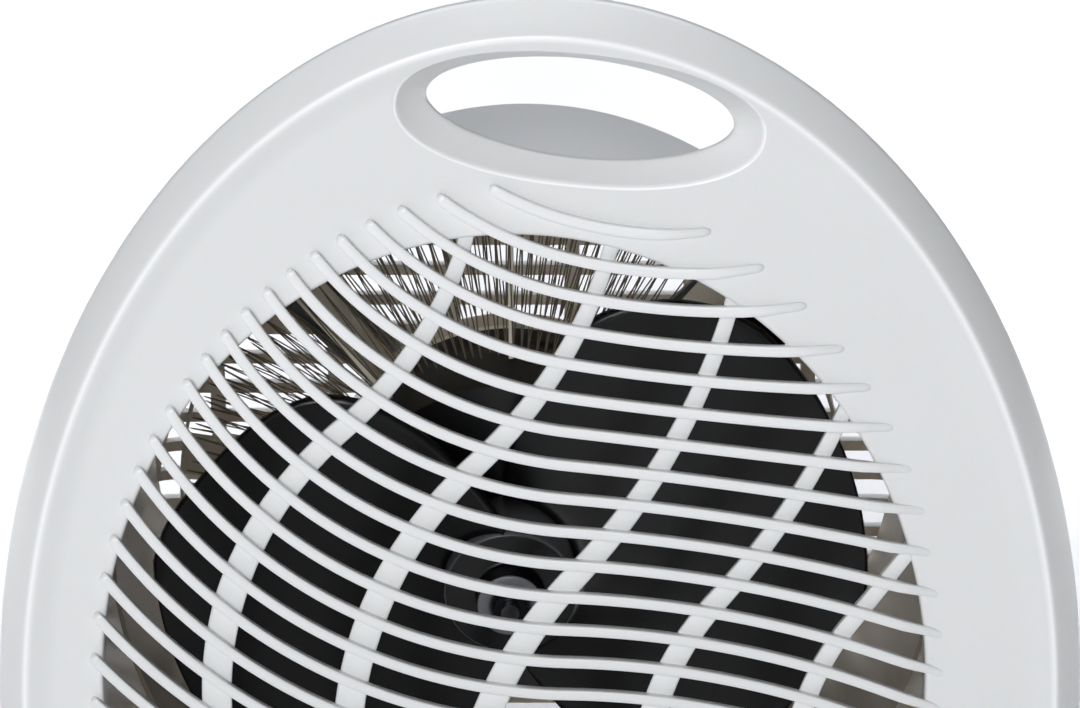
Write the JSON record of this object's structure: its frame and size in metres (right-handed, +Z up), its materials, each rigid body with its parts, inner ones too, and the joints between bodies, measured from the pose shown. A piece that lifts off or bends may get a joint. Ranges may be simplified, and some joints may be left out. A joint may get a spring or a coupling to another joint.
{
  "type": "fan heater",
  "caption": "Free-standing fan heater: oval casing with a carrying handle, swept slat grille, two-blade fan, wire element and rear drum",
  "frame": {"origin": "on the floor, midway between the furthest points to each side and to the front and back", "axes": "+Z up, -Y towards the front of the heater, +X to the right seen from the front"},
  "size_m": [0.236, 0.1342, 0.29],
  "materials": {
    "casing_white": "semi-matt moulded polypropylene",
    "foot_white": "semi-matt moulded polypropylene",
    "rubber": "matt rubber",
    "zinc_steel": "bright zinc plated",
    "aluminised_sheet": "dull aluminised sheet",
    "fan_black": "glossy black moulding",
    "spring_steel": "bright spring steel",
    "ground_steel": "ground steel",
    "lamination_steel": "stacked sheet",
    "cast_aluminium": "as cast",
    "enamelled_copper": "enamelled copper winding",
    "galvanised_sheet": "galvanised sheet",
    "sintered_bronze": "sintered bronze",
    "mica": "mica sheet",
    "resistance_wire": "oxidised resistance wire",
    "bakelite": "brown phenolic moulding",
    "black_enamel": "stoved black enamel",
    "black_steel": "blackened steel strip",
    "tin_case": "tinned case",
    "shaft_plastic": "nylon",
    "knob_plastic": "semi-matt moulding",
    "switch_plastic": "cream moulding",
    "lens_amber": "amber lens",
    "lamp_glass": "neon lamp glass",
    "terminal_plastic": "nylon",
    "brass_screw": "brass",
    "grommet_rubber": "matt rubber",
    "lead_silicone": "silicone covered lead"
  },
  "bodies": {
    "housing": {"front_shell": "casing_white", "rear_shell": "casing_white", "base_foot": "foot_white", "rubber_feet": "rubber", "case_screws": "zinc_steel", "foot_screws": "zinc_steel", "heat_shield": "aluminised_sheet", "motor_stator": "lamination_steel", "motor_coils": "enamelled_copper", "motor_front_cover": "black_enamel", "motor_rear_cover": "black_enamel", "motor_bearings": "sintered_bronze", "motor_screws": "zinc_steel", "motor_nuts": "zinc_steel", "motor_spider": "galvanised_sheet", "spider_screws": "zinc_steel", "mica_vanes": "mica", "element_inner_band": "mica", "element_outer_band": "mica", "heating_wire_front": "resistance_wire", "heating_wire_rear": "resistance_wire", "thermal_cutout": "bakelite", "cutout_bracket": "black_steel", "thermal_fuse": "tin_case", "thermostat_body": "bakelite", "mode_switch_body": "switch_plastic", "panel_nuts": "zinc_steel", "pilot_lens": "lens_amber", "pilot_lamp": "lamp_glass", "terminal_block": "terminal_plastic", "terminal_screws": "brass_screw", "inlet_grommet": "grommet_rubber", "inner_leads": "lead_silicone"},
    "fan": {"fan_rotor": "fan_black", "fan_clip": "spring_steel", "motor_shaft": "ground_steel", "motor_rotor_core": "lamination_steel", "motor_rotor_end_rings": "cast_aluminium"},
    "thermostat_dial": {"thermostat_knob": "knob_plastic", "thermostat_shaft": "shaft_plastic"},
    "mode_dial": {"mode_knob": "knob_plastic", "mode_switch_shaft": "shaft_plastic"}
  },
  "joints": [
    {"name": "fan_spin", "type": "hinge", "parent": "housing", "child": "fan", "pos_m": [-0.0065, 0.00715, 0.145], "axis": [0, 1, 0], "continuous": true},
    {"name": "thermostat_turn", "type": "hinge", "parent": "housing", "child": "thermostat_dial", "pos_m": [-0.046, -0.05285, 0.033], "axis": [0, 1, 0], "range_deg": [-135, 135]},
    {"name": "mode_turn", "type": "hinge", "parent": "housing", "child": "mode_dial", "pos_m": [0.046, -0.05285, 0.033], "axis": [0, 1, 0], "range_deg": [0, 270]}
  ]
}
